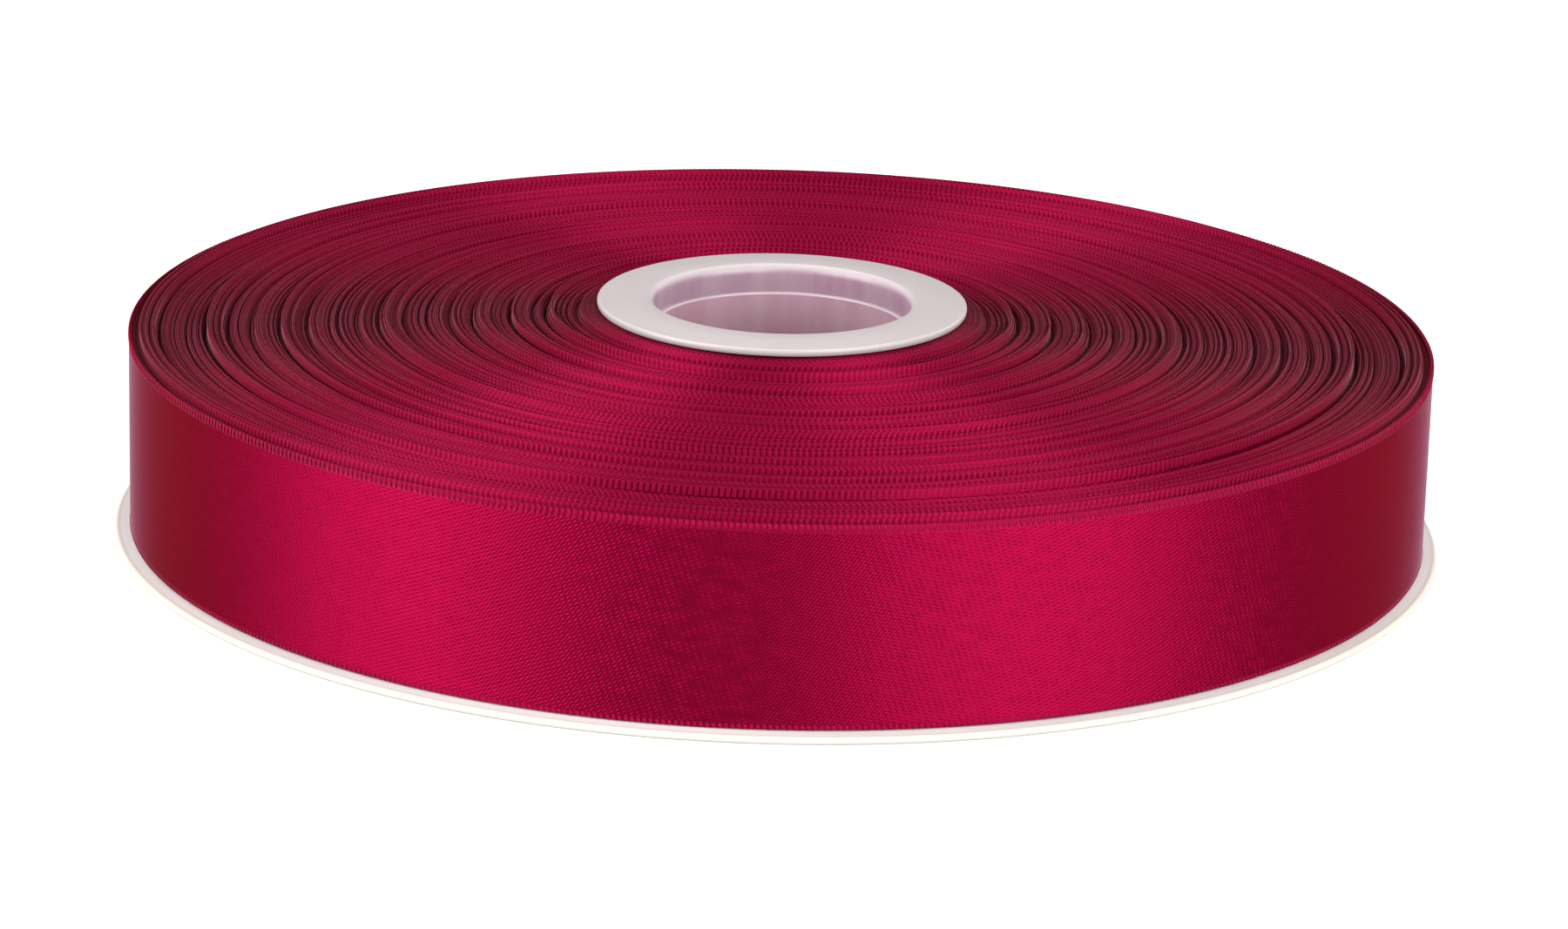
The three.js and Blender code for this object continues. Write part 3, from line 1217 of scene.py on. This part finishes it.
        turned, tipped = (
            graph.node("FunctionNodeEulerToRotation", {0: euler}).outputs[0]
            for euler in (graph.vector(0.0, 0.0, angle), graph.vector(tip, 0.0, 0.0))
        )
        both = {"Rotation": turned, "Rotate By": tipped}
        rotation = graph.node("FunctionNodeRotateRotation", both, rotation_space="LOCAL").outputs[0]
        copies = {"Points": points, "Instance": shape, "Rotation": rotation}
        placed = graph.node("GeometryNodeInstanceOnPoints", copies).outputs[0]
        real = graph.node("GeometryNodeRealizeInstances", {0: placed}).outputs[0]
        x, y, z = graph.split(graph.node("GeometryNodeInputPosition").outputs[0])
        about = graph.times(graph.math("ARCTAN2", y, x), middle)
        self.finish(graph, real, graph.vector(about, graph.over(z, MM), 0.0), given["Material"])
        return graph.tree


@dataclass(frozen=True)
class Stretch:
    """One stretch of the winding that is a piece of its own."""

    name: str
    first: float
    turns: float
    steps: int
    ripple: float = 0.0


@dataclass
class RibbonPack:
    """The ribbon as it is wound on the core, and its free end; lengths in millimetres."""

    sizes: Sizes
    effects: Effects
    width: float = 25.0
    pitch: float = 0.223
    thickness: float = 0.19
    stitch_pitch: float = 0.73
    hinge_angle: float = math.radians(75.0)
    tail_arc: float = math.radians(32.0)
    rest_gap: float = 0.16
    crown: float = 0.4
    tilt: float = 0.25
    jitter: float = 0.09
    wander: float = 0.16
    lift: float = 1.1
    rim_turns: float = 20.0
    band_turns: float = 14.0
    band_rise: float = 0.62
    hub_gap: float = 0.3
    rim_turns_apart: int = 12
    splits: tuple[tuple[str, int, int], ...] = (("first", 111, 76), ("second", 180, 108), ("third", 235, 132))
    last_split: tuple[str, int] = ("fourth", 150)
    rim_steps: int = 240
    face_steps: int = 360
    face_ripple: float = 0.05
    face_rows: int = 24
    face_foot: float = 0.1
    edge_roundness: float = 1.3
    stitch_gap: float = 0.02
    top_stitch: Point = (0.44, 0.1)  # along the ribbon, and deep
    bottom_stitch: Point = (0.36, 0.06)

    def __post_init__(self) -> None:
        """Works out the winding from the frame and builds its materials and trees."""
        self.inner_radius = self.sizes.hub_radius / MM + self.hub_gap
        self.outer_radius = self.sizes.roll_radius / MM
        self.turns = math.floor((self.outer_radius - self.inner_radius) / self.pitch)
        self.satin = SatinFinish(width=self.width, pitch=self.stitch_pitch).build(self.effects)
        self.thread = SatinFinish(
            name="selvage_thread",
            face=(0.275, 0.004, 0.039),
            gap=(0.22, 0.0024, 0.024),
            width=1000.0,
            edge=0.0,
            metal=0.72,
            # weaker painted sheen on the stitches
            painted_sheen=0.3,
            weave_depth=0.3,
        ).build(self.effects)
        self.winding = Winding()

    def stretches(self) -> list[Stretch]:
        """Splits the winding into pieces of a size that every tool can take."""
        last = self.turns - 1
        rim = last - self.rim_turns_apart
        last_name, last_steps = self.last_split
        found = []
        start = 0
        for name, end, steps in (*self.splits, (last_name, rim, last_steps)):
            found.append(Stretch(f"wound_turns_{name}", start, end - start, steps))
            start = end
        found.append(Stretch("wound_turns_rim", rim, last - rim, self.rim_steps))
        return found

    def rounded_edge(self, steps: int) -> list[Point]:
        """Lists the points round the ribbon's upper edge."""
        half = self.thickness / 2 * MM
        height = half * self.edge_roundness
        return arc((0.0, self.width * MM - height), (half, height), 0, 180, steps)

    def plain_section(self) -> bpy.types.Object:
        """Makes the section of a turn that shows only its upper edge."""
        half = self.thickness / 2 * MM
        shoulder = self.width * MM - half * 4
        points = [(-half, 0.0), (half, 0.0), (half, shoulder), *self.rounded_edge(4), (-half, shoulder)]
        return profile_curve("turn_section", points)

    def face_section(self) -> bpy.types.Object:
        """Makes the section of the outermost turn, whose whole face shows."""
        half = self.thickness / 2 * MM
        edge = self.face_foot * MM
        rows = self.face_rows
        reach = self.width * MM - 2.4 * half - edge
        face = [(half, edge + reach * row / rows) for row in range(rows + 1)]
        points = [(-half * 0.5, 0.0), (half * 0.5, 0.0), *face, *self.rounded_edge(6), (-half, edge)]
        return profile_curve("face_section", points)

    def strip_inputs(self, stretch: Stretch, section: bpy.types.Object) -> dict[str, Any]:
        """Lists the inputs of the strip tree for one stretch.

        Args:
            stretch: The stretch.
            section: The section that is swept.

        Returns:
            Values by the input's name.
        """
        return {
            "Section": section,
            "First Turn": float(stretch.first),
            "Turns": float(stretch.turns),
            "Steps": stretch.steps,
            "Start Angle": self.hinge_angle,
            "Start Radius": self.inner_radius,
            "Pitch": self.pitch,
            "Width": self.width,
            "Hub Radius": self.sizes.collar_radius / MM,
            "Disc Radius": self.sizes.disc_radius / MM,
            "Disc Rise": self.sizes.disc_rise / MM,
            "Rest Height": self.sizes.disc_thickness / MM + self.rest_gap,
            "Crown": self.crown,
            "Band Turns": self.band_turns,
            "Band Rise": self.band_rise,
            "Jitter": self.jitter,
            "Wander": self.wander,
            "Tilt": self.tilt,
            "Lift": self.lift,
            "Rim Turn": float(self.turns - 1 - self.rim_turns),
            "Last Turn": float(self.turns - 1),
            "Ripple": stretch.ripple,
            "Material": self.satin,
        }

    def stitch(self, name: str, path: Sequence[Point], width: float, depth: float) -> bpy.types.Object:
        """Makes one stitch: a flat rounded thread that follows a short path.

        Args:
            name: The object's name.
            path: Points as distance outward and height from the edge, in millimetres.
            width: Its width along the ribbon.
            depth: Its depth.

        Returns:
            The object, with few faces because it is repeated hundreds of times.
        """
        shape = bmesh.new()
        sides = 6
        end_share = 0.45
        rings = []
        for index, (outward, height) in enumerate(path):
            before = path[max(index - 1, 0)]
            after = path[min(index + 1, len(path) - 1)]
            run = Vector((after[0] - before[0], after[1] - before[1])).normalized()
            taper = end_share if index in (0, len(path) - 1) else 1.0
            ring = []
            for side in range(sides):
                angle = FULL_TURN * side / sides
                off = math.cos(angle) * depth / 2 * taper
                wide = math.sin(angle) * width / 2 * taper
                place = ((outward + run.y * off) * MM, wide * MM, (height - run.x * off) * MM)
                ring.append(shape.verts.new(place))
            rings.append(ring)
        skin(shape, rings)
        return keep_mesh(name, shape)

    def build_turns(self) -> None:
        """Winds the inner turns, which show only their edges."""
        section = self.plain_section()
        for stretch in self.stretches():
            piece = grow(stretch.name, self.winding.strip, self.strip_inputs(stretch, section))
            self.settle(piece)
        bpy.data.objects.remove(section)

    def settle(self, piece: bpy.types.Object) -> None:
        """Puts a piece of the wound ribbon on the spool."""
        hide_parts("ribbon_roll")
        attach(piece, Body.SPOOL.value)
        report(piece, Body.SPOOL.value)

    def stitch_rows(self, stretch: Stretch, name: str, lower: bool = True) -> list[bpy.types.Object]:
        """Stitches the edges of a turn whose face shows.

        Args:
            stretch: The turn, or a part of one.
            name: The start of the rows' names.
            lower: Whether the bottom edge is stitched too.

        Returns:
            The rows of stitches.
        """
        reach = self.thickness / 2 + self.stitch_gap
        over_edge = [(reach, -0.95), (reach + 0.02, -0.5), (reach, -0.1), (0.0, 0.03)]
        over_edge += [(-reach, -0.12), (-reach, -0.5)]
        foot = [(reach, 0.5), (reach + 0.02, 0.3), (reach, 0.12), (0.0, 0.02)]
        edges = [("top", over_edge, *self.top_stitch, self.width)]
        if lower:
            edges.append(("bottom", foot, *self.bottom_stitch, 0.0))
        rows = []
        for edge, path, breadth, depth, height in edges:
            shape = self.stitch(f"{edge}_stitch", path, breadth, depth)
            inputs = self.strip_inputs(stretch, None) | {
                "Stitch": shape,
                "Stitch Pitch": self.stitch_pitch,
                "Edge Height": height,
                "Material": self.thread,
            }
            inputs.pop("Section")
            rows.append(grow(f"{name}_{edge}", self.winding.stitches, inputs))
            bpy.data.objects.remove(shape)
        return rows

    def build_face(self) -> None:
        """Winds the outermost turn and stitches its edges."""
        section = self.face_section()
        wrap = Stretch("outer_turn", self.turns - 1, 1, self.face_steps, ripple=self.face_ripple)
        piece = grow(wrap.name, self.winding.strip, self.strip_inputs(wrap, section))
        bpy.data.objects.remove(section)
        second = Stretch("second", wrap.first - 1, 1, self.rim_steps)
        rows = self.stitch_rows(wrap, "selvage_outer")
        rows += self.stitch_rows(second, "selvage_second", lower=False)
        for found in [piece, *rows]:
            self.settle(found)


@dataclass
class RibbonEnd:
    """The ribbon's free end, which peels off the roll, and the clear tape that holds it."""

    pack: RibbonPack
    tape_start: float = 101.0
    tape_end: float = 113.5
    tape_width: float = 12.0
    tape_thickness: float = 0.05
    tape_gap: float = 0.06
    tape_rise: float = 1.4
    step_degrees: float = 1.1
    step_gap: float = 0.01
    tape_steps: int = 40
    bend_length: float = 14.0

    def radius_at(self, degrees: float) -> float:
        """Finds the middle of the free end's thickness, in millimetres from the axis."""
        pack = self.pack
        gone = (degrees - math.degrees(pack.hinge_angle)) / 360
        return pack.inner_radius + pack.pitch * (pack.turns + gone)

    def build(self) -> None:
        """Builds the free end and lays the tape over its tip."""
        pack = self.pack
        share = math.degrees(pack.tail_arc) / 360
        section = pack.face_section()
        stretch = Stretch("ribbon_end", pack.turns, share, pack.face_steps, ripple=pack.face_ripple)
        end = grow(stretch.name, pack.winding.strip, pack.strip_inputs(stretch, section))
        rows = pack.stitch_rows(stretch, "ribbon_end_stitches")
        bpy.data.objects.remove(section)
        for piece in [end, *rows]:
            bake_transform(piece)
            report(piece, f"{Body.SPOOL.value} to {Body.TAIL.value}")
        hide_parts("ribbon_tail")
        self.build_tape()

    def build_tape(self) -> None:
        """Builds the tape, which lies on the free end and steps down onto the roll."""
        pack = self.pack
        steps = self.tape_steps
        tip = math.degrees(pack.hinge_angle + pack.tail_arc)
        face = pack.thickness / 2 + self.tape_gap
        middle = pack.width / 2 + self.tape_rise
        rings = []
        shape = bmesh.new()
        for index in range(steps + 1):
            degrees = self.tape_start + (self.tape_end - self.tape_start) * index / steps
            down = max(0.0, min(1.0, (degrees - tip) / self.step_degrees))
            smooth = down * down * (3 - 2 * down)
            radius = self.radius_at(degrees) + face - smooth * (pack.pitch - self.step_gap)
            angle = math.radians(degrees)
            ring = []
            for outward, height in ((0.0, 0.0), (1.0, 0.0), (1.0, 1.0), (0.0, 1.0)):
                reach = (radius + outward * self.tape_thickness) * MM
                up = (middle + (height - 0.5) * self.tape_width) * MM
                ring.append(shape.verts.new((math.cos(angle) * reach, math.sin(angle) * reach, up)))
            rings.append(ring)
        skin(shape, rings)
        tape = keep_mesh("end_tape", shape, smooth=False)
        film = ClearFilm().build(pack.effects)
        dress(tape, film)
        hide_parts("tail_tape")
        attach(tape, Body.TAIL.value)
        report(tape, Body.TAIL.value)
        core_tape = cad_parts["core_tape"]
        core_tape.data.materials.clear()
        core_tape.data.materials.append(film)


# --- Studio -------------------------------------------------------------------------------------


@dataclass(frozen=True)
class Softbox:
    """A plain rectangular light that faces the spool."""

    name: str
    azimuth: float  # degrees round from the camera's side, to the right
    elevation: float
    distance: float
    size: Point
    power: float

    def build(self) -> None:
        """Adds the light."""
        data = bpy.data.lights.new(self.name, "AREA")
        data.shape = "RECTANGLE"
        data.size, data.size_y = self.size
        data.energy = self.power
        light = add_object(self.name, data)
        across, up = math.radians(self.azimuth), math.radians(self.elevation)
        place = Vector((math.sin(across) * math.cos(up), -math.cos(across) * math.cos(up), math.sin(up)))
        light.location = place * self.distance
        light.rotation_euler = (-place).to_track_quat("-Z", "Y").to_euler()


@dataclass
class Studio:
    """Camera, floor and lights."""

    lens: float = 129.5
    distance: float = 0.728
    elevation: float = math.radians(17.36)
    roll: float = math.radians(1.554)
    aim: tuple[float, float, float] = (0.0008, 0.0, 0.00808)
    ambient: float = 0.17
    sensor: float = 36.0
    nearest: float = 0.01
    eye_lift: float = 1.0 * MM
    floor_half: float = 4.0
    floor_drop: float = 0.02 * MM
    floor_tones: Point = (0.54, 0.56)
    floor_scale: float = 3.0
    floor_roughness: float = 0.9
    floor_specular: float = 0.1
    floor_glow: float = 0.6
    softboxes: tuple[Softbox, ...] = (
        Softbox("left_softbox", -64.0, 21.0, 0.9, (0.84, 0.62), 13.8),
        Softbox("right_softbox", 41.0, 21.0, 0.9, (0.92, 0.62), 15.0),
        Softbox("left_fill", -125.0, 21.0, 1.0, (0.8, 0.6), 1.9),
        Softbox("right_fill", 122.0, 21.0, 1.0, (0.9, 0.6), 2.8),
        Softbox("top_softbox", 180.0, 58.0, 1.0, (1.2, 0.6), 4.8),
    )

    def build(self) -> None:
        """Adds everything that isn't part of the object."""
        self.build_camera()
        self.build_floor()
        self.build_world()
        for softbox in self.softboxes:
            softbox.build()
        bpy.context.scene.view_settings.view_transform = "Standard"

    def build_camera(self) -> None:
        """Adds the camera in front of the spool and above it."""
        data = bpy.data.cameras.new("camera")
        data.lens = self.lens
        data.sensor_width = self.sensor
        data.clip_start = self.nearest
        camera = add_object("camera", data)
        back, up = math.cos(self.elevation), math.sin(self.elevation)
        eye = Vector((0.0, -self.distance * back, self.distance * up))
        eye.z += self.eye_lift
        camera.location = eye
        facing = (Vector(self.aim) - eye).to_track_quat("-Z", "Y").to_matrix()
        camera.rotation_euler = (facing @ Matrix.Rotation(self.roll, 3, "Z")).to_euler()
        bpy.context.scene.camera = camera

    def build_floor(self) -> None:
        """Adds a plain pale floor, whose glow only the camera sees."""
        mesh = bpy.data.meshes.new("floor")
        half = self.floor_half
        corners = [(-half, -half, 0.0), (half, -half, 0.0), (half, half, 0.0), (-half, half, 0.0)]
        mesh.from_pydata(corners, [], [(0, 1, 2, 3)])
        floor = add_object("floor", mesh)
        floor.location.z = -self.floor_drop
        material, graph, shader = new_material("floor_paper")
        place = graph.node("ShaderNodeTexCoord").outputs["Object"]
        dark, light = (rgba((tone, tone, tone)) for tone in self.floor_tones)
        seen = graph.node("ShaderNodeLightPath").outputs["Is Camera Ray"]
        looks = {
            "Base Color": graph.blend(graph.noise(place, self.floor_scale), dark, light),
            "Roughness": self.floor_roughness,
            "Specular IOR Level": self.floor_specular,
            "Emission Color": rgba(WHITE),
            "Emission Strength": graph.times(seen, self.floor_glow),
        }
        graph.fill(shader, looks)
        mesh.materials.append(material)

    def build_world(self) -> None:
        """Lights the scene evenly from all sides."""
        world = bpy.data.worlds.new("studio")
        world.use_nodes = True
        background = world.node_tree.nodes["Background"]
        background.inputs["Color"].default_value = rgba(WHITE)
        background.inputs["Strength"].default_value = self.ambient
        bpy.context.scene.world = world


# --- Assembly -----------------------------------------------------------------------------------


def main() -> None:
    """Builds the studio and every part of the spool."""
    logging.basicConfig(level=logging.INFO, format="%(name)s: %(message)s")
    Studio().build()
    effects = Effects()
    sizes = Sizes()
    Hub(sizes, effects).build()
    BaseDisc(sizes, effects).build()
    pack = RibbonPack(sizes, effects)
    pack.build_turns()
    pack.build_face()
    RibbonEnd(pack).build()


if __name__ == "__main__":
    main()
